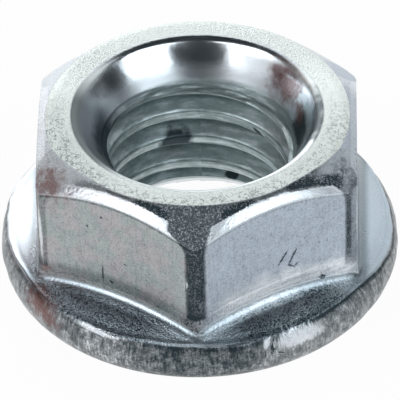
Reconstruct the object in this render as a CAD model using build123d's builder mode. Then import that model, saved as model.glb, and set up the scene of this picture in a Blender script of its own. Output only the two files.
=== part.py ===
from build123d import *
from math import asin, cos, degrees, pi, radians, sin, tan
import os

# Hexagon nut with a flange, serrated underneath: M10, one forged and tapped piece.
# +Z is the nut's axis. The origin is on the axis, in the plane that the serrations rest on.
# Two corners of the hexagon lie on the Y axis, so a pair of flats faces X.

# Driving dimensions, in millimetres and degrees
across_flats = 15.0            # wrench size
nut_height = 9.0
hex_corner_radius = 0.75       # the six upright corners are blunt, as forged, or blunter still
crown_dia = 14.0               # outer edge of the flat ring on top
crown_slope = 38.5             # cone that cuts the six upper corners
crown_edge_break = 0.2         # bevel between the flat ring and that cone

thread_minor_dia = 8.5         # M10 x 1.5, the crests of the internal thread
mouth_dia = 11.5               # countersink on top, at its lip
mouth_depth = 1.85
mouth_lip_radius = 0.5         # where the countersink rolls over into the flat ring
lower_mouth_dia = 11.8         # countersink underneath, inside the ring of serrations
lower_mouth_depth = 1.75

flange_dia = 19.1              # at the widest point of its rim
bearing_dia = 16.2             # outer edge of the flat ring that carries the serrations
rim_radius = 1.45              # section of the bulging rim
rim_crest_angle = 38.0         # how far that arc goes on above the widest point, to a crease
flange_slope = 30.0            # fall of the flange's top towards the crease
foot_radius = 1.0              # fillet between the hexagon and the flange
foot_ledge = 0.1               # left of the flange's top between that fillet and the crease

tooth_count = 30               # ratchet serrations of the bearing face
tooth_depth = 0.36             # at the flange's greatest diameter, less towards the bore
tooth_run_out = 0.07           # how far above the teeth the rim's lower bevel reaches
tooth_land = 0.10              # flat crest between two gaps, as a share of the pitch
tooth_lean = 0.12              # steep side of a gap, as a share of the pitch

# Worked out from them
bore_radius = thread_minor_dia / 2
crown_radius = crown_dia / 2
mouth_radius = mouth_dia / 2
lower_mouth_radius = lower_mouth_dia / 2
flange_radius = flange_dia / 2
bevel_height = tooth_depth + tooth_run_out
rim_start_angle = degrees(asin(bevel_height / rim_radius - 1))
crease_radius = flange_radius - rim_radius * (1 - cos(radians(rim_crest_angle)))
crease_height = rim_radius * (1 + sin(radians(rim_crest_angle)))
flange_fall = tan(radians(flange_slope))
flange_top = crease_height + (crease_radius - bore_radius) * flange_fall
foot_height = crease_height + (crease_radius - across_flats / 2) * flange_fall
ledge_height = crease_height + foot_ledge * flange_fall
foot_width = foot_radius * (1 - sin(radians(flange_slope)))
corner_reach = crease_radius - foot_ledge - foot_width
sharp_reach = across_flats / 2 / cos(pi / 6)
corner_growth = sharp_reach / (across_flats / 2) - 1
corner_radius = max(hex_corner_radius, (sharp_reach - corner_reach) / corner_growth)
crown_drop = (crease_radius - crown_radius) * tan(radians(crown_slope))
half_pitch = tan(pi / tooth_count)
crest_offset = half_pitch * (1 - tooth_land)
root_offset = 2 * half_pitch * tooth_lean - crest_offset

# What is turned about the axis below the hexagon: a shallow cone with a bulging rim, whose
# lower edge is a bevel where the serrations run out
with BuildPart() as flange:
    with BuildSketch(Plane.XZ):
        with BuildLine():
            rim_centre = (flange_radius - rim_radius, rim_radius)
            rim_span = rim_crest_angle - rim_start_angle
            rim = CenterArc(rim_centre, rim_radius, rim_start_angle, rim_span)
            Polyline(
                rim @ 1,
                (bore_radius, flange_top),
                (0, flange_top),
                (0, 0),
                (bearing_dia / 2, 0),
                rim @ 0,
            )
        make_face()
    revolve(axis=Axis.Z)

# The gap between two teeth, bounded by two planes that meet at the centre, so that it widens
# and deepens outwards along +X. Its ramp ends at a crest on one side and a steep wall stands
# on the other: the nut slides when it is tightened and bites when it is loosened.
root = Vector(flange_radius, flange_radius * root_offset, tooth_depth)
ramp_crest = Vector(flange_radius, flange_radius * crest_offset, 0)
wall_crest = Vector(flange_radius, -flange_radius * crest_offset, 0)
with BuildPart() as tooth_gap:
    with BuildSketch(Plane.XY.offset(-tooth_depth)):
        with Locations((flange_radius / 2, 0)):
            Rectangle(flange_radius, 2 * flange_radius * half_pitch)
    extrude(amount=2 * tooth_depth)
    split(bisect_by=Plane((0, 0, 0), root, root.cross(ramp_crest)), keep=Keep.BOTTOM)
    split(bisect_by=Plane((0, 0, 0), root, wall_crest.cross(root)), keep=Keep.BOTTOM)

with BuildPart() as nut:
    # The hexagon, its upper corners cut by the crown's cone. Its corners stay as far inside
    # the crease as the fillet at their foot needs.
    with BuildSketch():
        RegularPolygon(across_flats / 2, 6, major_radius=False, rotation=30)
        fillet(vertices(), corner_radius)
    extrude(amount=nut_height)
    with BuildSketch(Plane.XZ):
        with BuildLine():
            Polyline(
                (0, 0),
                (crease_radius, 0),
                (crease_radius, nut_height - crown_drop),
                (crown_radius, nut_height),
                (0, nut_height),
                close=True,
            )
        make_face()
        crown_edge = vertices().group_by(Axis.Y)[-1].sort_by(Axis.X)[-1]
        chamfer(crown_edge, crown_edge_break)
    revolve(axis=Axis.Z, mode=Mode.INTERSECT)

    # The flange, with a fillet round the foot of the hexagon
    add(flange.part)
    foot = edges().filter_by_position(Axis.Z, ledge_height, foot_height + foot_radius)
    fillet(foot, foot_radius)

    # The bore at the thread's crests, with a countersink at either end
    with BuildSketch(Plane.XZ):
        with BuildLine():
            Polyline(
                (0, 0),
                (lower_mouth_radius, 0),
                (bore_radius, lower_mouth_depth),
                (bore_radius, nut_height - mouth_depth),
                (mouth_radius, nut_height),
                (0, nut_height),
                close=True,
            )
        make_face()
    revolve(axis=Axis.Z, mode=Mode.SUBTRACT)
    crown_circles = faces().sort_by(Axis.Z)[-1].edges().filter_by(GeomType.CIRCLE)
    fillet(crown_circles.sort_by(SortBy.RADIUS)[0], mouth_lip_radius)

    # The serrations of the bearing face
    with PolarLocations(0, tooth_count):
        add(tooth_gap.part, mode=Mode.SUBTRACT)

nut.part.label = "flange_nut"
os.makedirs("parts", exist_ok=True)
export_step(nut.part, "parts/flange_nut.step")

size = nut.part.bounding_box().size
print(f"flange_nut {size.X:.2f} x {size.Y:.2f} x {size.Z:.2f} mm, {nut.part.volume:.0f} mm3")
print("solids", len(nut.part.solids()), "faces", len(nut.part.faces()), "valid", nut.part.is_valid)
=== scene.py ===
import bmesh
import bpy
from math import atan, atan2, cos, exp, pi, radians, sin, sqrt, tan
from mathutils import Matrix, Vector, noise
from types import SimpleNamespace


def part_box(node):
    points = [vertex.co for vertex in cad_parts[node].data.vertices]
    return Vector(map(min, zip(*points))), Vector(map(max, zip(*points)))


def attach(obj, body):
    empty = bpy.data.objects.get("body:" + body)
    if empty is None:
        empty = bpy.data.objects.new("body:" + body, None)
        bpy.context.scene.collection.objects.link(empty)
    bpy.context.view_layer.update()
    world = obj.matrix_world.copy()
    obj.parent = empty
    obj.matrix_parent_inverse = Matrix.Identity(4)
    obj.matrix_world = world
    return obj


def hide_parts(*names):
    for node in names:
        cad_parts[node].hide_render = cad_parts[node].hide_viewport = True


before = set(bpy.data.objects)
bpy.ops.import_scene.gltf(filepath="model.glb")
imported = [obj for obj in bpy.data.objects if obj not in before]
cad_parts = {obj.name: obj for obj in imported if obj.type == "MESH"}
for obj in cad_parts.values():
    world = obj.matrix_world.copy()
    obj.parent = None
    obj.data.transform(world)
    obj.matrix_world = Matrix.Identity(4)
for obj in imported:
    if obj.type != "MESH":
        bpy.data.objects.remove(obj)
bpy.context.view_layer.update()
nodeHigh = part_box("flange_nut")[1]
mm = 0.001  # meshes are made in millimetres and scaled to metres at the end


def mix(low, high, share):
    return low + (high - low) * share


def smooth(value, low, high):
    share = min(max((value - low) / (high - low), 0), 1)
    return share * share * (3 - 2 * share)


def polar(radius, angle, height):
    return Vector((radius * cos(angle), radius * sin(angle), height))


def waver(angle, fineness, seed):  # an uneven ripple round the nut, from -1 to 1
    return noise.noise(Vector((cos(angle) * fineness, sin(angle) * fineness, seed * 7.3))) * 1.6


def follow(knots, x):  # straight lines between (x, y) knots
    for (x0, y0), (x1, y1) in zip(knots, knots[1:]):
        if x <= x1:
            return mix(y0, y1, (x - x0) / (x1 - x0))
    return knots[-1][1]


# The nut, in millimetres. The main sizes are those of its solid, and the rest is wear.
nut = {
    "flangeRadius": nodeHigh.x / mm,
    "height": nodeHigh.z / mm,
    "halfFlats": 7.5,
    "cornerRadius": 0.75,  # of the hexagon's upright corners
    "crownRadius": 7.0,
    "crownSlope": radians(38.5),
    "crownRoll": 0.24,  # how far the flat ring's edge is rolled over, either way
    "bandWidth": 0.37,  # the narrow bevel between a flat and the cone
    "bandSlope": radians(45),
    "bandRoll": 0.04,  # how far its lower edge is rolled over
    "boreRadius": 4.25,
    "mouthRadius": 5.75,
    "mouthSlope": radians(52),  # how steeply the countersink goes down
    "lipRadius": 0.5,
    "ringRadius": 4.57,  # where the countersink meets the thread
    "ringMiddle": 7.13,  # the mean height of that ring, and how far it leans
    "ringTilt": 0.37,
    "lowerMouthRadius": 5.9,
    "lowerMouthDepth": 1.75,
    "rimRadius": 1.45,
    "rimStart": radians(-44.7),  # its section is an arc, from below level to above it
    "rimEnd": radians(38),
    "bearingRadius": 8.1,  # of the serrated ring's outer edge
    "flangeSlope": radians(30),
    "footRadius": (0.5, 1.0),  # the fillet on the left and on the right
    "toothCount": 30,
    "toothDepth": 0.36,
    "undersideRadii": (5.15, 5.3, 5.5, 5.7, 5.8, 5.9, 6.6, 7.4, 8.1, 8.3, 8.5, 8.7, 8.91),
    "beadHeight": 0.03,  # the bead that the dies left along the crease
    # its section: how far in from the crease, and how high as a share of it
    "beadSection": [(0.05, 0.5), (0.1, 1), (0.15, 0.9), (0.22, 0), (0.3, -0.55), (0.42, 0)],
    "edgeWaver": 0.05,  # how unevenly the forging came out: in long waves
    "rimWaver": 0.10,
    "creaseWaver": 0.16,
    "rimRipple": 0.02,  # and in short ones
    "creaseRipple": 0.03,
    # small dents in the rim: where, how deep and half how wide
    "rimNicks": [(radians(angle), depth, radians(reach)) for angle, depth, reach in
                 [(-68.5, 0.09, 0.9), (-53, 0.05, 1.5), (-44, 0.07, 1.1), (-31, 0.05, 2),
                  (-122, 0.06, 1.3), (-137, 0.07, 1), (-146, 0.04, 2), (-160, 0.05, 1.2),
                  (25, 0.05, 1.5), (80, 0.06, 1.2), (131, 0.05, 1.6), (171, 0.05, 1)]],
    "columnsPerSide": 80,
    "cornerColumns": 7,  # of each side's columns, those in half a corner
}
columns = 6 * nut["columnsPerSide"]
columnsPerTooth = columns // nut["toothCount"]
creaseRadius = nut["flangeRadius"] - nut["rimRadius"] * (1 - cos(nut["rimEnd"]))
creaseHeight = nut["rimRadius"] * (1 + sin(nut["rimEnd"]))
flatAngle = atan((nut["halfFlats"] - nut["cornerRadius"]) * tan(pi / 6) / nut["halfFlats"])
lowerSpread = nut["lowerMouthRadius"] - nut["boreRadius"]
# a tooth's edges: its columns and their shares of the pitch, and the gap's depth over the pitch
toothKnots = [(0, 0), (1, 0.05), (3, 0.17), (columnsPerTooth - 1, 0.95), (columnsPerTooth, 1)]
gapKnots = [(0, 0), (0.05, 0), (0.17, 1), (0.95, 0), (1, 0)]


def hexagonAngle(column):
    # columns stand closer together round the blunt corners
    side = round(column / nut["columnsPerSide"])
    step = column - side * nut["columnsPerSide"]
    flatSteps = nut["columnsPerSide"] / 2 - nut["cornerColumns"]
    knots = [(0, 0), (flatSteps, flatAngle), (nut["columnsPerSide"] / 2, pi / 6)]
    turn = follow(knots, abs(step))
    return side * pi / 3 + (turn if step >= 0 else -turn)


def hexagonPoint(angle):
    # a point of the blunt hexagon and the direction that its wall faces there
    side = round(angle / (pi / 3)) * pi / 3
    turn = angle - side
    if abs(turn) <= flatAngle + 1e-9:
        return polar(nut["halfFlats"] / cos(turn), angle, 0), polar(1, side, 0)
    corner = side + (pi / 6 if turn > 0 else -pi / 6)
    middle = (nut["halfFlats"] - nut["cornerRadius"]) / cos(pi / 6)
    aside = middle * sin(angle - corner)
    reach = middle * cos(angle - corner) + sqrt(nut["cornerRadius"] ** 2 - aside**2)
    point = polar(reach, angle, 0)
    return point, (point - polar(middle, corner, 0)).normalized()


def toothAngle(column):
    # a column stands at each edge of every tooth
    count, step = divmod(column + columnsPerTooth // 2, columnsPerTooth)
    turn = follow(toothKnots, step)
    return (count - 0.5 + turn) * 2 * pi / nut["toothCount"], follow(gapKnots, turn)


def bevelHeight(radius):
    # the rim's lower bevel, where the serrations run out
    foot = nut["rimRadius"] * (1 + sin(nut["rimStart"]))
    reach = nut["flangeRadius"] - nut["rimRadius"] * (1 - cos(nut["rimStart"]))
    return (radius - nut["bearingRadius"]) / (reach - nut["bearingRadius"]) * foot


def underside(column):
    angle, gap = toothAngle(column)
    points = []
    for radius in nut["undersideRadii"]:
        height = max(lowerConeHeight(radius), bevelHeight(radius), 0)
        ceiling = gap * nut["toothDepth"] * radius / nut["flangeRadius"]
        points.append(polar(radius, angle, max(height, ceiling)))
    return points


def rim(column):
    points = []
    steps = 16
    even = column * 2 * pi / columns
    for step in range(steps + 1):
        swing = mix(nut["rimStart"], nut["rimEnd"], step / steps)
        angle = mix(toothAngle(column)[0], even, step / steps)
        dent = rimDent(even) * sin(pi * step / steps) + creaseDent(even) * (step / steps) ** 2
        radius = nut["flangeRadius"] - nut["rimRadius"] * (1 - cos(swing)) - dent
        points.append(polar(radius, angle, nut["rimRadius"] * (1 + sin(swing))))
    return points


def rimDent(angle):
    # the rim is never quite round, and only ever inside its full size
    dent = nut["rimWaver"] * (1 - waver(angle, 2.2, 1)) / 2
    dent += nut["rimRipple"] * (1 + waver(angle, 14, 2))
    for place, depth, reach in nut["rimNicks"]:
        away = (angle - place + pi) % (2 * pi) - pi
        dent += depth * exp(-((away / reach) ** 2))
    return dent


def creaseDent(angle):
    return nut["creaseWaver"] * waver(angle, 2.6, 5) + nut["creaseRipple"] * waver(angle, 11, 6)


def flangeHeight(radius):
    return creaseHeight + (creaseRadius - radius) * tan(nut["flangeSlope"])


def footRadius(angle):
    return mix(*nut["footRadius"], smooth(cos(angle), -0.15, 0.25))


def footEdges(column):
    # where the fillet starts on the flange, and the height at which it ends on the wall
    point, outward = hexagonPoint(hexagonAngle(column))
    radius = footRadius(column * 2 * pi / columns)
    edge = point + outward * radius * (1 - sin(nut["flangeSlope"]))
    return edge, flangeHeight(edge.length) + radius * cos(nut["flangeSlope"])


def flangeTop(column):
    # from the crease inwards, over the bead, to the fillet's lower edge
    even = column * 2 * pi / columns
    edge = footEdges(column)[0]
    points = []
    for inset, lift in nut["beadSection"]:
        radius = creaseRadius - inset - creaseDent(even) * (1 - inset / 0.6)
        height = flangeHeight(radius) + lift * nut["beadHeight"]
        points.append(polar(radius, even, height))
    last = points[-1]
    for step in range(1, 7):
        place = last.lerp(edge, step / 6)
        place.z = flangeHeight(Vector(place[:2]).length)
        points.append(place)
    return points


def foot(column):
    # the fillet, swung from the flange's top to the wall
    point, outward = hexagonPoint(hexagonAngle(column))
    radius = footRadius(column * 2 * pi / columns)
    middle = footEdges(column)[1]
    points = []
    for step in range(1, 11):
        swing = mix(pi + (pi / 2 - nut["flangeSlope"]), pi, step / 10)
        place = point + outward * radius * (1 + cos(swing))
        place.z = middle + radius * sin(swing)
        points.append(place)
    return points


def wall(column):
    # up a flat, over the narrow bevel, up the cone and over the crown's edge. The bevel is
    # narrower in the corners, and the edge that it breaks lies unevenly low
    angle = hexagonAngle(column)
    point, outward = hexagonPoint(angle)
    even = column * 2 * pi / columns
    start = footEdges(column)[1]
    coneLength = point.length - nut["crownRadius"]
    edge = Vector((point.x, point.y, nut["height"] - coneLength * tan(nut["crownSlope"])))
    edge.z -= max(0, waver(angle, 3.5, 3)) * nut["edgeWaver"]
    crown = polar(nut["crownRadius"], mix(angle, even, 0.5), nut["height"])
    fold = abs(angle - round(angle / (pi / 3)) * pi / 3)
    width = nut["bandWidth"] * mix(1, 0.3, smooth(fold, radians(27.5), radians(29.5)))
    coneRun = (edge - crown).dot(outward)
    up = edge.lerp(crown, min(width / coneRun, 0.55))
    low = Vector((point.x, point.y, up.z - (edge - up).dot(outward) * tan(nut["bandSlope"])))
    down = low - Vector((0, 0, nut["bandRoll"]))
    points = [Vector((point.x, point.y, mix(start, down.z, step / 14))) for step in range(1, 15)]
    points += bend(down, low, low.lerp(up, 0.2), 4)
    points.append(low.lerp(up, 0.55))
    high = edge.lerp(crown, max(1 - nut["crownRoll"] / (crown - edge).length, 0.65))
    points += bend(low.lerp(up, 0.8), up, up.lerp(high, 0.25), 3)
    points += [up.lerp(high, 0.25 + 0.25 * step) for step in range(1, 4)]
    flat = polar(nut["crownRadius"] - nut["crownRoll"], even, nut["height"])
    points += bend(high, crown, flat, 5)
    return points


def bend(start, corner, end, steps):
    # a smooth curve that leaves start towards corner and arrives at end from it
    points = []
    for step in range(1, steps + 1):
        share = step / steps
        points.append(start.lerp(corner, share).lerp(corner.lerp(end, share), share))
    return points


def ringHeight(angle):
    # the countersink's lower edge stands a little higher on one side
    return nut["ringMiddle"] - nut["ringTilt"] * cos(angle)


def mouth(column):
    # the flat ring, the lip, the countersink, and the bore at the bottom of the thread
    even = column * 2 * pi / columns
    points = []
    outerRing = nut["crownRadius"] - nut["crownRoll"]
    fall = nut["mouthSlope"]
    tangent = nut["lipRadius"] * tan(fall / 2)
    for step in range(1, 4):
        radius = mix(outerRing, nut["mouthRadius"] + tangent, step / 3)
        points.append(polar(radius, even, nut["height"]))
    for step in range(1, 9):
        turn = fall * step / 8
        radius = nut["mouthRadius"] + tangent - nut["lipRadius"] * sin(turn)
        points.append(polar(radius, even, nut["height"] - nut["lipRadius"] * (1 - cos(turn))))
    last = points[-1]
    ring = polar(nut["ringRadius"], even, ringHeight(even))
    points += [last.lerp(ring, step / 6) for step in range(1, 7)]
    flank = (thread["rootRadius"] - nut["ringRadius"]) * tan(pi / 6)
    points.append(polar(thread["rootRadius"], even, ring.z - flank))
    points.append(polar(thread["rootRadius"], even, lowerConeHeight(thread["rootRadius"])))
    return points


def lowerConeHeight(radius):
    # how high the lower countersink stands at a radius
    return (nut["lowerMouthRadius"] - radius) / lowerSpread * nut["lowerMouthDepth"]


def columnPoints(column):
    parts = [underside, rim, flangeTop, foot, wall, mouth]
    return [point for part in parts for point in part(column)]


def finished(mesh, name):
    # doubles merged, faces outwards, millimetres to metres
    bmesh.ops.remove_doubles(mesh, verts=mesh.verts, dist=0.0002)
    bmesh.ops.recalc_face_normals(mesh, faces=mesh.faces)
    bmesh.ops.scale(mesh, verts=mesh.verts, vec=(mm, mm, mm))
    data = bpy.data.meshes.new(name)
    mesh.to_mesh(data)
    mesh.free()
    piece = bpy.data.objects.new(name, data)
    bpy.context.scene.collection.objects.link(piece)
    return piece


def turnedNut():
    # a tube with one ring for each point of the section is spun, then each ring is laid
    rings = len(columnPoints(0))
    mesh = bmesh.new()
    line = [mesh.verts.new((1, 0, ring)) for ring in range(rings)]
    for low, high in zip(line, line[1:]):
        mesh.edges.new((low, high))
    mesh.edges.new((line[-1], line[0]))
    bmesh.ops.spin(mesh, geom=mesh.verts[:] + mesh.edges[:], cent=(0, 0, 0), axis=(0, 0, 1),
                   angle=2 * pi, steps=columns, use_merge=True)
    laid = [columnPoints(column) for column in range(columns)]
    for vert in mesh.verts:
        column = round(atan2(vert.co.y, vert.co.x) / (2 * pi) * columns) % columns
        vert.co = laid[column][round(vert.co.z)]
    return mesh


# The thread, M10 x 1.5, right-hand: a ridge that winds up the bore
thread = {
    "pitch": 1.5,
    "rootRadius": 5.0,
    "seat": 5.06,  # the ridge is rooted this far out, inside the wall
    "crestWidth": 0.446,
    "crestRoll": 0.16,  # how far the crest's two edges are rounded
    "flankRadii": (4.85, 4.7, 4.6, 4.5),
    # its upper end: how far below the countersink, and the radius that it is cut back to
    "runOut": [(0.2, 4.5), (0.28, 4.3), (9, 4.2)],
    "lowest": 0.6,
    "startAngle": radians(12),
    "turns": 4.8,
    "stepsPerTurn": 120,
}


def ridgeHalf():
    # half of the ridge's section, from its seat to the middle of its crest
    def flank(radius):
        wide = thread["crestWidth"] / 2 + (radius - nut["boreRadius"]) * tan(pi / 6)
        return Vector((radius, 0, wide))

    crest = nut["boreRadius"]
    roll = thread["crestRoll"]
    flat = Vector((crest, 0, thread["crestWidth"] / 2 - roll))
    points = [flank(radius) for radius in (thread["seat"], *thread["flankRadii"])]
    points.append(flank(crest + roll))
    points += bend(points[-1], flank(crest), flat, 5)
    return points


def ridge():
    upper = ridgeHalf()
    lower = [Vector((point.x, 0, -point.z)) for point in reversed(upper)]
    middle = [Vector((nut["boreRadius"], 0, 0))]
    turn = Matrix.Rotation(thread["startAngle"], 3, "Z")
    lift = Vector((0, 0, thread["lowest"]))
    mesh = bmesh.new()
    verts = [mesh.verts.new(turn @ point + lift) for point in upper + middle + lower]
    section = mesh.faces.new(verts)
    steps = round(thread["turns"] * thread["stepsPerTurn"])
    rise = Vector((0, 0, thread["pitch"] / thread["stepsPerTurn"]))
    bmesh.ops.spin(mesh, geom=verts + list(section.edges) + [section], cent=(0, 0, 0),
                   axis=(0, 0, 1), dvec=rise, angle=thread["turns"] * 2 * pi, steps=steps)
    for vert in mesh.verts:
        angle = atan2(vert.co.y, vert.co.x)
        height = trimHeight(angle, vert.co.z)
        radius = max(Vector(vert.co[:2]).length, mouthCut(angle, height))
        vert.co = polar(min(radius, thread["seat"]), angle, height)
    data = bpy.data.meshes.new("ridge")
    mesh.to_mesh(data)
    mesh.free()
    return data


def coneRise(angle):
    # how fast the countersink widens with height
    rise = nut["height"] - ringHeight(angle)
    return (nut["mouthRadius"] - nut["ringRadius"]) / rise


def trimHeight(angle, height):
    # the ridge ends inside the wall, a hair below one countersink and above the other
    top = ringHeight(angle) + (thread["seat"] - nut["ringRadius"]) / coneRise(angle)
    return min(max(height, lowerConeHeight(thread["seat"]) + 0.02), top - 0.03)


def mouthCut(angle, height):
    # how far out the two countersinks cut away the ridge
    lower = nut["lowerMouthRadius"] - height / nut["lowerMouthDepth"] * lowerSpread
    below = ringHeight(angle) - height
    if below < 0:
        return max(lower, nut["ringRadius"] - below * coneRise(angle) + 0.012)
    return max(lower, follow([(0, nut["ringRadius"]), *thread["runOut"]], below))


def flangeNut():
    mesh = turnedNut()
    mesh.from_mesh(ridge())
    piece = finished(mesh, "flangeNut")
    piece.data.shade_smooth()
    piece.data.set_sharp_from_angle(angle=radians(32))
    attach(piece, "root")
    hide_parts("flange_nut")
    return piece


nutPiece = flangeNut()
print("nut:", len(nutPiece.data.vertices), "vertices,", len(nutPiece.data.polygons), "faces")


class Wire:  # a socket whose arithmetic adds Math nodes
    def __init__(self, finish, socket):
        self.finish = finish
        self.socket = socket

    def maths(self, operation, *terms):
        return self.finish.node("Math", {"operation": operation}, dict(enumerate(terms)))

    def __add__(self, other):
        return self.maths("ADD", self, other)

    def __radd__(self, other):
        return self.maths("ADD", other, self)

    def __sub__(self, other):
        return self.maths("SUBTRACT", self, other)

    def __rsub__(self, other):
        return self.maths("SUBTRACT", other, self)

    def __mul__(self, other):
        return self.maths("MULTIPLY", self, other)

    def __rmul__(self, other):
        return self.maths("MULTIPLY", other, self)

    def __truediv__(self, other):
        return self.maths("DIVIDE", self, other)

    def __pow__(self, other):
        return self.maths("POWER", self, other)

    def most(self, other):
        return self.maths("MAXIMUM", self, other)

    def least(self, other):
        return self.maths("MINIMUM", self, other)

    def size(self):
        return self.maths("ABSOLUTE", self)

    def whole(self):
        return self.maths("ROUND", self)

    def between(self, low, high, start=0.0, end=1.0):
        # start up to low, end from high on, and a smooth change between them
        values = {0: self, 1: low, 2: high, 3: start, 4: end}
        return self.finish.node("MapRange", {"interpolation_type": "SMOOTHSTEP"}, values)


class Finish:  # a material and the one method that adds its nodes
    def __init__(self, name):
        self.material = bpy.data.materials.new(name)
        self.material.use_nodes = True
        self.tree = self.material.node_tree
        self.tree.nodes.clear()

    def node(self, kind, settings, values, output=0):
        made = self.tree.nodes.new("ShaderNode" + kind)
        for name, setting in settings.items():
            setattr(made, name, setting)
        for name, value in values.items():
            if isinstance(value, Wire):
                self.tree.links.new(value.socket, made.inputs[name])
            else:
                made.inputs[name].default_value = value
        return Wire(self, made.outputs[output])

    def blend(self, share, first, second):
        values = {"Factor": share, "A": first, "B": second}
        return self.node("Mix", {"data_type": "RGBA"}, values, output=2)

    def marks(self, place, spots, ragged, low=0.55, high=1.05):
        # 1 on each spot and 0 away from them, with ragged edges
        total = 0
        for middle, reach, turn in spots:
            values = {"Vector": place, "Location": middle, "Rotation": (0, turn, 0),
                      "Scale": reach}
            moved = self.node("Mapping", {"vector_type": "TEXTURE"}, values)
            away = self.node("VectorMath", {"operation": "LENGTH"}, {0: moved}, output=1)
            total = total + (away + (ragged - 0.5) * 1.6).between(low, high, 1, 0)
        return total.least(1)

    def grain(self, place, scale, detail=2.0, rough=0.5, stretch=(1, 1, 1)):
        spread = self.node("Mapping", {}, {"Vector": place, "Scale": stretch})
        return self.node("TexNoise", {}, {"Vector": spread, "Scale": scale, "Detail": detail,
                                          "Roughness": rough})

    def surface(self, shader):
        made = self.tree.nodes.new("ShaderNodeOutputMaterial")
        self.tree.links.new(shader.socket, made.inputs["Surface"])
        return self.material


def paint(red, green, blue):
    return (red, green, blue, 1)


zinc = {
    "crown": paint(0.91, 0.98, 0.95),  # the flat ring on top, pale and gritty
    "cone": paint(0.64, 0.69, 0.73),
    "greenFlats": paint(0.43, 0.48, 0.475),  # the plating's flush differs from place to place
    "pinkFlats": paint(0.49, 0.48, 0.495),
    # a painted bluish reflection on the right-hand flats and the right shoulder
    "blueFlats": paint(0.48, 0.55, 0.64),
    "mouth": paint(0.66, 0.71, 0.75),
    "bore": paint(0.45, 0.54, 0.55),
    "flange": paint(0.53, 0.62, 0.69),
    "rim": paint(0.30, 0.32, 0.335),
    # grime, and also the colour of painted shade
    "grime": paint(0.033, 0.05, 0.06),
    "rust": paint(0.19, 0.095, 0.085),
    # worn metal, and also the colour of painted highlights
    "worn": paint(0.83, 0.88, 0.93),
}
relief = {
    # how far grit, fine grit, scratches and blotches stand out, in millimetres
    "foot": (0.02, 0, 0.05, 0),
    "skin": (0.060, 0.010, 0, 0),
    "fillet": (0.012, 0, 0.02, 0),
    "flange": (0.034, 0.011, 0, 0),
    "rim": (0.045, 0, 0.032, 0),
    "flats": (0.006, 0.004, 0, 0.008),
    "bore": (0.012, 0, 0, 0),
    # and how far one pattern alone does
    "crownGrit": 0.06,
    "crownFrontGrit": 0.18,
    "crownFineGrit": 0.02,
    "crownFolds": 0.06,
    "coneGrit": 0.08,
    "coneBlotches": 0.02,
    "mouthClouds": 0.012,
    "nicks": 0.02,
}
roughness = {
    "metal": 0.30,
    "clouds": 0.2,  # how much it varies from place to place
    "crown": 0.05,
    "skin": 0.05,
    "mouth": -0.12,
    "lip": 0.22,
    "haze": 0.16,
    "leftMouth": 0.25,
    "bore": 0.16,
}
brightness = {
    # how far each patch goes towards the colour of worn metal and painted highlights, from 0 to 1
    "rimScratches": 0.3,
    "rimGrit": 0.25,
    "lowerLeftRim": 0.3,  # more of both there
    "leftRim": 0.12,
    "rightShoulder": 0.35,
    "rearShoulders": 0.9,
    "threadStreaks": 0.35,
    "rightFoot": 0.2,
    "rightFootStreaks": 0.5,
    "worn": 0.55,
    "wornScratches": 0.5,
    "band": 0.8,
    "pale": 0.85,
    "leftFlange": 0.5,
}
dirt = {
    # how far each patch goes towards the colour of grime and painted shade, from 0 to 1
    "crownDimples": 0.13,
    "crownFrontDimples": 0.05,
    "crownPits": 0.04,
    "crownEnds": 0.14,
    "crownFolds": 0.55,
    # painted dark reflection on the skin above the front faces and on the front corner
    "skin": 0.34,
    "frontCorner": 0.46,
    "frontCornerTop": 0.56,
    "rightCorner": 0.3,
    "rightBlotches": 0.25,
    "cornerLine": 0.35,
    "footTip": 0.15,
    "leftFoot": 0.28,
    "bandLines": 0.4,
    "flatsPits": 0.22,
    "flatsSpeckle": 0.20,
    "flatsBlotches": 0.12,
    "flatsBrushed": 0.10,
    "rearConePits": 0.35,
    "rearConeSpeckle": 0.15,
    "crease": 0.2,
    "rightCrease": 0.4,
    "flange": 0.28,
    "flangeSpeckle": 0.25,
    "flangePits": 0.4,
    "rightFlange": 0.2,
    "cleanFlangeSpeckle": 0.12,
    "sideFoot": 0.45,
    "rimBlotches": 0.4,
    "rimSpeckle": 0.2,
    "rimPits": 0.2,
    "rimScratches": 0.28,
    "frontRim": 0.36,
    "mouthFilm": 0.9,
    "haze": 0.3,
    "leftMouth": 0.72,
    "boreBlotches": 0.15,
    "boreStreaks": 0.2,
    "leftBore": 0.16,
    "lowBore": 0.1,
    "nicks": 0.7,
    "oil": 0.95,
    "rust": 0.74,
    "rustPits": 0.22,
}
# Marks: the place of the middle, how far it reaches each way and a turn about the Y axis.
# Lengths are in millimetres.
oilStains = [
    ((-1.2, 4.2, 3.9), (1.0, 1.4, 0.8), 0),
    ((1.47, 4.6, 1.42), (0.4, 0.6, 0.2), 0),
    ((2.9, 3.4, 5.1), (0.45, 0.8, 0.14), 0.5),
]
mouthFilm = [
    ((5.0, 0.6, 7.4), (0.9, 1.4, 0.8), 0),
    ((5.7, -0.4, 8.8), (0.7, 3.0, 0.6), 0),
]
# rust stains; those on the left also paint a warm, reddish reflection
rustStains = [
    ((-6.8, -4.2, 8.15), (1.6, 1.5, 0.75), 0),
    ((-7.3, -5.7, 1.9), (1.9, 1.8, 1.1), 0.3),
    ((-7.25, -4.5, 3.3), (0.4, 0.4, 0.3), 0),
    ((-7.55, -3.75, 5.4), (0.3, 0.35, 2.4), 0),
    ((4.2, 3.1, 8.0), (1.55, 1.65, 1.05), 0),
    ((4.9, 1.5, 7.6), (0.5, 0.8, 0.6), 0),
]
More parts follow.
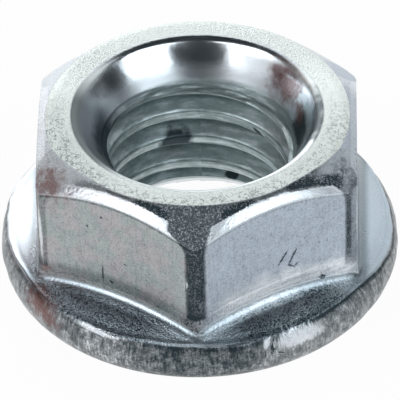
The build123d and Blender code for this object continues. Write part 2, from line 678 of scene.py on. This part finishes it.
faceNicks = [
    ((-5.06, -5.74, 6.83), (0.09, 0.3, 0.06), 0),
    ((-4.37, -6.13, 7.65), (0.07, 0.3, 0.07), 0),
    ((-4.39, -6.13, 4.3), (0.035, 0.3, 0.65), 0),
    ((-4.0, -6.3, 3.95), (0.16, 0.3, 0.07), 0.2),
    ((4.03, -6.33, 5.32), (0.06, 0.3, 0.5), 0.55),
    ((4.47, -6.08, 5.2), (0.06, 0.3, 0.62), 0.45),
    ((4.43, -6.1, 4.66), (0.26, 0.3, 0.05), 0.75),
    ((4.66, -5.98, 4.68), (0.13, 0.3, 0.045), -0.6),
    ((5.87, -5.4, 3.38), (0.17, 0.4, 0.11), 0.3),
    ((-3.3, -6.75, 5.3), (0.12, 0.3, 0.05), 0.4),
    ((3.54, -8.75, 2.0), (0.1, 0.6, 0.5), 0.1),
    ((3.9, -8.6, 1.55), (0.3, 0.6, 0.04), 0.5),
]
# worn metal and painted highlights: on the rim's front, along the crease on the left, on the front
# corner and up the left and right corners
wornPatches = [
    ((4.85, -8.1, 2.0), (1.7, 1.6, 0.5), 0.1),
    ((3.25, -8.8, 2.15), (0.2, 0.6, 0.3), 0.2),
    ((-4.75, -8.0, 2.31), (1.5, 1.3, 0.14), 0),
    ((-0.42, -8.2, 5.5), (0.17, 0.3, 0.38), 0.1),
    ((-7.33, -4.33, 5.3), (0.1, 0.3, 2.1), -0.04),
    ((7.52, -4.0, 5.9), (0.07, 0.3, 2.5), 0),
]
# painted highlights: beside the right corner and over the right front foot
palePatches = [
    ((6.6, -4.9, 3.5), (0.8, 0.8, 0.9), 0),
    ((3.0, -7.0, 3.8), (3.6, 2.4, 1.3), 0),
]


def nutSurfaces(finish):
    # places on the nut, in millimetres, and masks that are 1 on one of its surfaces
    on = SimpleNamespace()
    metres = finish.node("TexCoord", {}, {}, output="Object")
    on.place = finish.node("Mapping", {}, {"Vector": metres, "Scale": (1 / mm, 1 / mm, 1 / mm)})
    on.x, on.y, on.z = [finish.node("SeparateXYZ", {}, {"Vector": on.place}, output=axis)
                        for axis in "XYZ"]
    on.radius = (on.x * on.x + on.y * on.y) ** 0.5
    on.angle = finish.node("Math", {"operation": "ARCTAN2"}, {0: on.x, 1: on.y * -1})  # front: 0
    sixths = (on.angle / (pi / 3)) + 0.5  # whole numbers at the middles of the flats
    on.fold = (sixths - sixths.whole()).size() * (pi / 3)  # angle from there, pi / 6 at a corner
    on.flatDistance = on.radius * finish.node("Math", {"operation": "COSINE"}, {0: on.fold})
    on.coneHeight = on.z + (on.radius - nut["crownRadius"]) * tan(nut["crownSlope"])
    on.lift = on.z - creaseHeight - (creaseRadius - on.radius) * tan(nut["flangeSlope"])
    on.around = finish.node("CombineXYZ", {}, {0: on.angle * 8.5, 1: on.radius, 2: on.z})

    sideways = on.angle.size().between(0.75, 1.25)
    crownReach = on.radius - sideways * 0.28  # the flat ring is wider at the sides
    on.crown = on.z.between(8.6, 8.7) * on.radius.between(5.85, 6.0) * crownReach.between(6.95, 6.87)
    on.mouth = on.radius.between(6.02, 5.9) * on.z.between(6.6, 6.75)
    on.bore = on.radius.between(5.2, 5.1) * on.z.between(7.45, 7.15) * on.z.between(0.8, 0.95)
    on.outside = on.radius.between(6.3, 6.4) * on.z.between(2.30, 2.40)
    on.wall = on.outside * on.flatDistance.between(7.60, 7.52) * (1 - on.crown)
    on.cone = on.wall * on.coneHeight.between(8.80, 8.90)
    on.flats = on.wall * (1 - on.cone)
    on.flange = on.outside * on.flatDistance.between(7.52, 7.60)
    on.rim = (1 - on.outside) * on.radius.between(8.9, 9.0)
    return on


def addGrains(finish, on):
    on.grit = finish.grain(on.place, 9.0, 3.0, 0.65)
    on.fineGrit = finish.grain(on.place, 16.0, 2.0, 0.7)
    on.blotches = finish.grain(on.place, 2.2, 3.0, 0.6)
    on.cloudy = finish.grain(on.place, 0.9, 4.0, 0.55)
    on.brushed = finish.grain(on.place, 1.0, 4.0, 0.65, stretch=(9, 9, 0.8))
    on.scratches = finish.grain(on.around, 1.0, 3.0, 0.7, stretch=(9, 1.2, 1.8))
    on.streaks = finish.grain(on.around, 1.0, 3.0, 0.6, stretch=(0.5, 1, 7))
    on.speckle = on.fineGrit.between(0.36, 0.62, 1, 0)
    on.pits = on.grit.between(0.36, 0.50, 1, 0)
    on.dimples = on.grit.between(0.38, 0.45, 1, 0)
    on.sparks = (on.fineGrit * 0.5 + on.grit * 0.5).between(0.50, 0.60)
    folds = (finish.grain(on.place, 3.4, 1.5, 0.5) - 0.5).size().between(0.02, 0.055, 1, 0)
    folds = folds * on.crown * on.y.between(2.5, -1.5) * on.radius.between(6.1, 6.4)
    on.folds = folds * on.grit.between(0.46, 0.52)  # wrinkles of the crown's front
    on.nicks = finish.marks(on.place, faceNicks, on.grit)
    on.worn = finish.marks(on.place, wornPatches, on.scratches)
    # the pale patches are painted highlights
    on.pale = finish.marks(on.place, palePatches, on.cloudy, 0.0, 1.2)
    on.film = finish.marks(on.place, mouthFilm, on.cloudy, 0.3, 1.1)


def addEdges(on):
    # the rough, forged skin on the corners and above the front faces, the bevel band painted with a
    # highlight, and thin lines of painted shade beside it
    climb = ((on.z - 6.9) / 1.35).most(0).least(1)
    widening = climb * climb * climb * on.x.between(-0.3, 0.3, 0.113, 0.043)
    cornerEdge = radians(27.2) - widening - on.x.between(4.0, 5.0) * 0.012
    ragged = (on.grit - 0.5) * 0.2
    corners = (on.fold - cornerEdge + ragged * 0.15).between(radians(-0.7), radians(0.5))
    on.rough = on.wall * corners * on.lift.between(0.55, 0.75)
    on.inset = nut["halfFlats"] - on.flatDistance + ragged
    on.front = on.y.between(-2.4, -3.2)
    bandTop = on.inset + on.x.between(3.5, 5.0) * 0.1
    above = bandTop.between(0.36, 0.42) * on.fold.between(radians(3), radians(9))
    on.skin = on.rough.most(on.wall * above * on.front)
    on.smoothCone = on.cone * (1 - on.skin)
    # painted highlight on the bevel band
    band = on.wall * on.inset.between(0.02, 0.06) * bandTop.between(0.42, 0.36) * (1 - on.rough)
    on.band = band * on.coneHeight.between(8.5, 8.7) * on.angle.between(1.0, 1.12, 1, 0.35)
    # painted shade: thin dark lines along the bevel band, at the front
    bandLine = on.wall * on.inset.between(0.36, 0.42) * on.inset.between(0.75, 0.55) * on.front
    on.bandLine = bandLine * on.fold.between(radians(22), radians(17))
    topLine = on.wall * on.coneHeight.between(8.70, 8.78) * on.coneHeight.between(8.90, 8.84)
    topLine = topLine * on.inset.between(0.08, 0.03) * on.front
    on.topLine = topLine * on.x.between(0.5, -0.5, 0.35, 1)


def addZones(on):
    # parts of a surface that look unlike the rest of it
    on.lip = on.mouth * on.z.between(8.6, 8.9) * on.y.between(4.5, 2.5)
    on.haze = on.mouth * (on.z + on.cloudy * 0.9).between(8.7, 8.0)
    on.leftMouth = on.mouth * on.x.between(-3.0, -4.8) * on.y.between(3.2, 0.8)
    on.leftFlange = on.flange * on.angle.between(-0.8, -1.1)
    on.leftRim = on.rim * on.x.between(-6.0, -7.5)
    on.evenRim = on.rim - on.leftRim * 0.6
    on.offFoot = on.flatDistance.between(7.62, 7.9)
    on.rightShoulder = on.cone * on.x.between(5.4, 6.6)
    # painted shade on the left faces just above the foot
    on.leftFoot = on.wall * on.x.between(0.4, -0.4) * on.lift.between(1.1, 0.7)
    # painted highlight along the right front foot
    on.rightFoot = on.wall * on.x.between(0.2, 1.4) * on.lift.between(1.3, 0.8) * on.front
    # painted shade where the front corner meets the foot
    footTip = on.wall * on.lift.between(0.85, 0.65) * on.front
    on.footTip = footTip * on.x.size().between(0.9, 0.3)


def grainOf(on, amounts):
    patterns = (on.grit, on.fineGrit, on.scratches, on.blotches)
    return sum(pattern * amount for pattern, amount in zip(patterns, amounts) if amount)


def heightOf(on):
    crownGrit = relief["crownGrit"] + on.y.between(2.0, -3.0) * relief["crownFrontGrit"]
    height = on.crown * ((on.fineGrit - 0.5) * relief["crownFineGrit"] + (on.grit - 0.5) * crownGrit)
    height = height - on.folds * relief["crownFolds"]
    height = height + on.smoothCone * (1 - on.front * 0.8) * on.grit * relief["coneGrit"]
    height = height + on.smoothCone * on.blotches * relief["coneBlotches"]
    height = height + on.skin * grainOf(on, relief["skin"])
    height = height + on.flats * grainOf(on, relief["flats"])
    foot = on.wall * on.lift.between(0.75, 0.55) * on.x.between(-1.5, -0.5)
    height = height + foot * grainOf(on, relief["foot"])
    fillet = on.outside * on.flatDistance.between(7.42, 7.55) * on.flatDistance.between(8.1, 7.8)
    height = height + fillet * grainOf(on, relief["fillet"])
    grained = (on.flange - on.leftFlange * 0.85) * on.lift.between(0.14, 0.0) * on.offFoot
    grained = grained * on.radius.between(8.0, 8.8, 0.35, 1)
    height = height + grained * grainOf(on, relief["flange"])
    height = height + on.evenRim * grainOf(on, relief["rim"])
    height = height + on.bore * grainOf(on, relief["bore"])
    return height + on.mouth * on.cloudy * relief["mouthClouds"] - on.nicks * relief["nicks"]


def roughnessOf(on):
    total = roughness["metal"] + (on.cloudy - 0.5) * roughness["clouds"]
    for zone in ("crown", "skin", "mouth", "lip", "haze", "leftMouth", "bore"):
        total = total + getattr(on, zone) * roughness[zone]
    return total


def platingOf(finish, on):
    colour = finish.blend(on.crown, zinc["cone"], zinc["crown"])
    sides = finish.blend(on.cloudy.between(0.42, 0.58), zinc["greenFlats"], zinc["pinkFlats"])
    # the right-hand flats and the right shoulder get a painted bluish reflection
    sides = finish.blend(on.x.between(-0.5, 1.0), sides, zinc["blueFlats"])
    colour = finish.blend(on.flats, colour, sides)
    colour = finish.blend(on.rightShoulder * 0.7, colour, zinc["blueFlats"])
    mouth = finish.blend(on.lip * 0.6, zinc["mouth"], zinc["crown"])
    colour = finish.blend(on.mouth, colour, mouth)
    colour = finish.blend(on.bore, colour, zinc["bore"])
    colour = finish.blend(on.flange, colour, zinc["flange"])
    return finish.blend(on.rim, colour, zinc["rim"])


def brightnessOf(on):
    lowerLeft = on.x.between(-2.0, -3.5) * on.x.between(-6.2, -5.2) * brightness["lowerLeftRim"]
    bright = on.evenRim * on.scratches.between(0.51, 0.62) * (brightness["rimScratches"] + lowerLeft)
    coarse = (on.grit * 0.6 + on.blotches * 0.4).between(0.52, 0.60)
    bright = bright + on.rim * coarse * (brightness["rimGrit"] + lowerLeft)
    bright = bright + on.leftRim * brightness["leftRim"]
    # the right shoulder's front is painted lighter: painted reflection
    bright = bright + on.rightShoulder * on.y.between(-1.5, -3.0) * brightness["rightShoulder"]
    # painted highlights on the cone's left-rear and right-rear shoulders
    rearSides = on.x.between(-4.0, -5.5) * on.y.between(-3.0, 0.0)
    rearSides = rearSides + on.x.between(3.5, 5.0) * on.y.between(1.5, 3.0)
    bright = bright + on.smoothCone * rearSides * brightness["rearShoulders"]
    bright = bright + on.bore * on.streaks.between(0.53, 0.62) * brightness["threadStreaks"]
    # painted highlight, streaked, on the right front foot
    streaked = on.streaks.between(0.40, 0.58) * brightness["rightFootStreaks"]
    bright = bright + on.rightFoot * (brightness["rightFoot"] + streaked)
    bright = bright + on.worn * (brightness["worn"] + on.scratches * brightness["wornScratches"])
    # painted highlights on the bevel band and on the pale patches
    bright = bright + on.band * brightness["band"] + on.pale * (brightness["pale"] - on.brushed * 0.5)
    # painted highlight on the flange's left end
    leftEnd = on.x.between(-6.0, -7.5) * on.y.between(-4.5, -2.5)
    return bright + on.flange * leftEnd * brightness["leftFlange"]


def crownDirt(on):
    dimples = dirt["crownDimples"] + on.y.between(0.0, -4.0) * dirt["crownFrontDimples"]
    ends = on.y.between(2.0, 5.0) + on.x.between(-3.0, -6.0)
    total = on.dimples * dimples + on.pits * dirt["crownPits"] + ends * dirt["crownEnds"]
    return on.crown * total + on.folds * dirt["crownFolds"]


def skinDirt(on):
    # painted dark reflection: the skin darker towards the front and most on the front corner, over
    # its grit
    frontCorner = on.y.between(-6.0, -7.0) * on.x.size().between(4.5, 2.5)
    rightEnd = on.x.between(6.0, 5.4).most(on.inset.between(0.85, 0.65) * on.x.between(7.2, 6.6))
    rightStrip = on.x.between(3.5, 4.5) * rightEnd * on.y.between(-2.5, -3.5)
    corner = on.z.between(6.6, 7.4, dirt["frontCorner"], dirt["frontCornerTop"])
    total = on.y.between(-0.5, -3.5) * (dirt["skin"] - on.x.between(-4.5, -6.0) * 0.04)
    total = total + frontCorner.most(rightStrip) * corner
    return on.skin * total * (1.0 - on.sparks * (0.25 + on.z.between(6.8, 7.8) * 0.35))


def shoulderDirt(on):
    # painted shade on the right corner's cone, darkest at its outer edge
    corner = 0.02 + on.x.between(7.0, 7.35) * dirt["rightCorner"]
    blotched = on.blotches.between(0.40, 0.56, dirt["rightBlotches"], 0)
    total = on.y.between(-0.5, -3.0) * (corner * (0.6 + on.pits * 0.6)
                                        + on.y.between(-1.8, -3.2) * blotched)
    rear = on.pits * dirt["rearConePits"] + on.speckle * dirt["rearConeSpeckle"]
    return on.rightShoulder * total + on.smoothCone * (1 - on.front) * rear


def sideDirt(on):
    speckled = on.speckle * dirt["flatsSpeckle"] + on.pits * dirt["flatsPits"]
    blotched = on.blotches.between(0.3, 0.6, dirt["flatsBlotches"], 0)
    total = on.flats * (speckled + blotched + on.brushed.between(0.35, 0.6, dirt["flatsBrushed"], 0))
    # painted shade along the bevel band
    total = total + (on.topLine + on.bandLine) * dirt["bandLines"]
    # painted shade: a thin dark line up the right corner
    cornerLine = on.rough * on.x.between(6.3, 6.8) * on.fold.between(radians(28.7), radians(27.7))
    cornerLine = cornerLine * on.z.between(8.1, 7.2) * on.lift.between(0.6, 2.0)
    total = total + cornerLine * dirt["cornerLine"] + on.leftFoot * dirt["leftFoot"]
    return total + on.footTip * (dirt["footTip"] + on.pits * 0.35) + on.nicks * dirt["nicks"]


def flangeDirt(on):
    # painted shade in a thin line along the crease, darker on the right
    creaseLine = (1 - on.wall) * on.lift.between(-0.01, -0.03) * on.lift.between(-0.17, -0.10)
    total = creaseLine * (dirt["crease"] + on.x.between(2.0, 5.0) * dirt["rightCrease"])
    clean = (on.flange - on.leftFlange * 0.8) * on.speckle
    total = total + clean * dirt["cleanFlangeSpeckle"]
    # painted dark reflection: the flange darker at the front, less beside the front corner and more
    # to the right, over its grit
    dirty = on.angle.between(-1.2, -0.85) * on.angle.between(1.15, 0.7) * on.offFoot * on.flange
    besideCorner = on.angle.size().between(0.1, 0.35, 0.4, 1.3)
    grained = dirt["flange"] + on.speckle * dirt["flangeSpeckle"] + on.pits * dirt["flangePits"]
    total = total + dirty * besideCorner * grained
    total = total + dirty * on.x.between(1.0, 2.5) * dirt["rightFlange"]
    # painted shadow on the flange beside the feet of the left and right corners
    ends = on.x.between(6.9, 7.5) + on.x.between(-6.9, -7.5) * 0.6
    return total + on.flange * on.flatDistance.between(8.2, 7.8) * ends * dirt["sideFoot"]


def rimDirt(on):
    total = on.blotches.between(0.35, 0.65, dirt["rimBlotches"], 0)
    total = total + on.speckle * dirt["rimSpeckle"] + on.pits * dirt["rimPits"]
    total = total + on.scratches.between(0.36, 0.50, dirt["rimScratches"], 0)
    # painted shade on the front of the rim
    front = on.angle.between(-0.5, -0.1) * on.angle.between(0.42, 0.2)
    return on.rim * (total + front * dirt["frontRim"])


def boreDirt(on):
    total = on.z.between(7.0, 6.6) * on.blotches.between(0.35, 0.6, dirt["boreBlotches"], 0)
    total = total + on.x.between(-1.5, -3.5) * dirt["leftBore"]
    # painted shade deep in the bore
    total = total + on.z.between(3.5, 2.0) * dirt["lowBore"]
    total = on.bore * (total + on.streaks.between(0.40, 0.60, dirt["boreStreaks"], 0))
    total = total + on.mouth * on.film * dirt["mouthFilm"] + on.haze * dirt["haze"]
    return total + on.leftMouth * dirt["leftMouth"]


def zincSteel():
    finish = Finish("zincSteel")
    on = nutSurfaces(finish)
    addGrains(finish, on)
    addEdges(on)
    addZones(on)
    bump = finish.node("Bump", {}, {"Strength": 1.0, "Distance": mm, "Height": heightOf(on)})
    colour = platingOf(finish, on)
    # worn metal and painted highlights
    colour = finish.blend(brightnessOf(on).least(1), colour, zinc["worn"])
    # grime and painted shade, summed over the surfaces
    grime = crownDirt(on) + skinDirt(on) + shoulderDirt(on) + sideDirt(on)
    grime = grime + flangeDirt(on) + rimDirt(on) + boreDirt(on)
    grime = grime * (1 - on.worn) * (1 - on.band) * (1 - on.pale * 0.7)
    colour = finish.blend(grime.least(1), colour, zinc["grime"])
    oil = finish.marks(on.place, oilStains, on.blotches * 0.5 + 0.25, 0.6, 1.0) * dirt["oil"]
    colour = finish.blend(oil, colour, zinc["grime"])
    # rust, and on the left a painted warm reflection
    rust = finish.marks(on.place, rustStains, on.blotches, 0.2, 1.0)
    rust = rust * (dirt["rust"] + on.pits * dirt["rustPits"])
    colour = finish.blend(rust, colour, zinc["rust"])
    shader = finish.node("BsdfPrincipled", {}, {"Base Color": colour, "Metallic": 1.0,
                                                "Roughness": roughnessOf(on), "Normal": bump})
    return finish.surface(shader)


nutPiece.data.materials.clear()
nutPiece.data.materials.append(zincSteel())
print("finish: zinc")


# Camera, floor and lights. The camera's azimuth runs from +X.
camera = {
    "azimuth": radians(-88.187),
    "elevation": radians(39.372),
    "roll": radians(-1.4307),
    "distance": 0.2625,
    "lens": 496.27,
    "aim": (0.035, 3.647),  # to the camera's right and up the nut's axis, in millimetres
}
studioPlan = {
    # Angles are in degrees. Azimuth 0 is the camera's own, and it counts to the camera's right.
    # each softbox: azimuth, elevation, width, height, radiance and colour
    "softboxes": [
        ("softboxLeft", -52, 37, 0.225, 0.17, 1.8, (1, 1, 1)),
        ("softboxRight", 50, 37, 0.24, 0.17, 1.8, (0.88, 0.96, 1)),
        ("rearSoftbox", -155, 26, 0.24, 0.2, 1.3, (1, 1, 1)),
    ],
    "softboxDistance": 0.29,
    # each flag or card that the metal mirrors: the azimuths and elevations that it spans
    "shades": [
        ("frontFlag", (-30, 27), (0, 38), "blackFelt"),
        ("upperFlag", (-20, 17), (38, 56), "blackFelt"),
        ("lowFlag", (-30, 122), (0, 19), "blackFelt"),
        ("lowLeftFlag", (-74, -30), (0, 9), "blackFelt"),
        ("overheadFlag", (-180, 180), (56, 89), "blackFelt"),
        ("leftFlag", (-95, -85), (17, 57), "blackFelt"),
        ("rightFlag", (74, 100), (19, 57), "blackFelt"),
        ("woodCard", (-132, -95), (0, 56), "wood"),
        ("lowWoodCard", (-95, -74), (0, 16.5), "paleWood"),
    ],
    "tentRadius": 0.3,
    "stuffs": {
        "blackFelt": paint(0.0125, 0.019, 0.0235),
        "wood": paint(0.15, 0.085, 0.08),
        "paleWood": paint(0.27, 0.15, 0.15),
    },
    "roomColour": paint(0.97, 0.985, 1.0),
    "roomStrength": 1.0,
    "floorGlow": 0.96,  # how far the floor shows as white, whatever light falls on it
}


def plain(name, colour):
    finish = Finish(name)
    return finish.surface(finish.node("BsdfPrincipled", {}, {"Base Color": colour,
                                                             "Roughness": 0.8}))


def staged(name, mesh, material, seen=True):
    data = bpy.data.meshes.new(name)
    mesh.to_mesh(data)
    mesh.free()
    thing = bpy.data.objects.new(name, data)
    bpy.context.scene.collection.objects.link(thing)
    thing.data.materials.append(material)
    thing.visible_camera = seen
    return thing


def floorDisc():
    mesh = bmesh.new()
    bmesh.ops.create_circle(mesh, cap_ends=True, segments=64, radius=3.0)
    finish = Finish("paleFloor")
    cameraRay = finish.node("LightPath", {}, {}, output="Is Camera Ray")
    glossyRay = finish.node("LightPath", {}, {}, output="Is Glossy Ray")
    transmissionRay = finish.node("LightPath", {}, {}, output="Is Transmission Ray")
    seen = (cameraRay + glossyRay + transmissionRay).least(1) * studioPlan["floorGlow"]
    pale = finish.node("BsdfPrincipled", {}, {"Base Color": paint(0.93, 0.93, 0.93),
                                              "Roughness": 0.9})
    white = finish.node("Emission", {}, {"Color": paint(1, 1, 1), "Strength": 1.0})
    shown = finish.node("MixShader", {}, {0: seen, 1: pale, 2: white})
    return staged("floor", mesh, finish.surface(shown))


def patch(name, azimuths, elevations, material):
    # part of a sphere round the nut: an upright arc, spun
    radius = studioPlan["tentRadius"]
    turn = camera["azimuth"]
    low, high = [radians(angle) for angle in elevations]
    start, end = [radians(angle) for angle in azimuths]
    mesh = bmesh.new()
    heights = [mix(low, high, step / 12) for step in range(13)]
    line = [mesh.verts.new(polar(radius * cos(angle), turn + start, radius * sin(angle)))
            for angle in heights]
    edges = [mesh.edges.new(pair) for pair in zip(line, line[1:])]
    bmesh.ops.spin(mesh, geom=line + edges, cent=(0, 0, 0), axis=(0, 0, 1),
                   angle=end - start, steps=max(3, round((end - start) / radians(4))))
    return staged(name, mesh, material, seen=False)


def softbox(name, azimuth, elevation, width, height, radiance, colour):
    light = bpy.data.lights.new(name, "AREA")
    light.shape = "RECTANGLE"
    light.size = width
    light.size_y = height
    light.energy = radiance * pi * width * height
    light.color = colour
    turn = camera["azimuth"] + radians(azimuth)
    towards = polar(cos(radians(elevation)), turn, sin(radians(elevation)))
    lamp = bpy.data.objects.new(name, light)
    lamp.location = towards * studioPlan["softboxDistance"]
    lamp.rotation_mode = "QUATERNION"
    lamp.rotation_quaternion = towards.to_track_quat("Z", "Y")
    bpy.context.scene.collection.objects.link(lamp)


def room():
    world = bpy.data.worlds.new("room")
    bpy.context.scene.world = world
    world.use_nodes = True
    background = world.node_tree.nodes["Background"]
    background.inputs["Color"].default_value = studioPlan["roomColour"]
    background.inputs["Strength"].default_value = studioPlan["roomStrength"]


def studio():
    floorDisc()
    for plan in studioPlan["softboxes"]:
        softbox(*plan)
    stuffs = {name: plain(name, colour) for name, colour in studioPlan["stuffs"].items()}
    for name, azimuths, elevations, stuff in studioPlan["shades"]:
        patch(name, azimuths, elevations, stuffs[stuff])
    room()


def viewCamera():
    towards = polar(cos(camera["elevation"]), camera["azimuth"], sin(camera["elevation"]))
    level = Vector((-sin(camera["azimuth"]), cos(camera["azimuth"]), 0))
    upright = towards.cross(level)
    right = level * cos(camera["roll"]) + upright * sin(camera["roll"])
    above = upright * cos(camera["roll"]) - level * sin(camera["roll"])
    aside, up = camera["aim"]
    aim = (right * aside + Vector((0, 0, up))) * mm
    data = bpy.data.cameras.new("camera")
    data.lens = camera["lens"]
    data.sensor_width = 36
    data.clip_start = 0.01
    data.clip_end = 10
    thing = bpy.data.objects.new("camera", data)
    thing.location = aim + towards * camera["distance"]
    thing.rotation_mode = "QUATERNION"
    thing.rotation_quaternion = Matrix((right, above, towards)).transposed().to_quaternion()
    bpy.context.scene.collection.objects.link(thing)
    bpy.context.scene.camera = thing


studio()
viewCamera()
bpy.context.scene.view_settings.view_transform = "Standard"
print("studio: floor, softboxes, cards and camera")
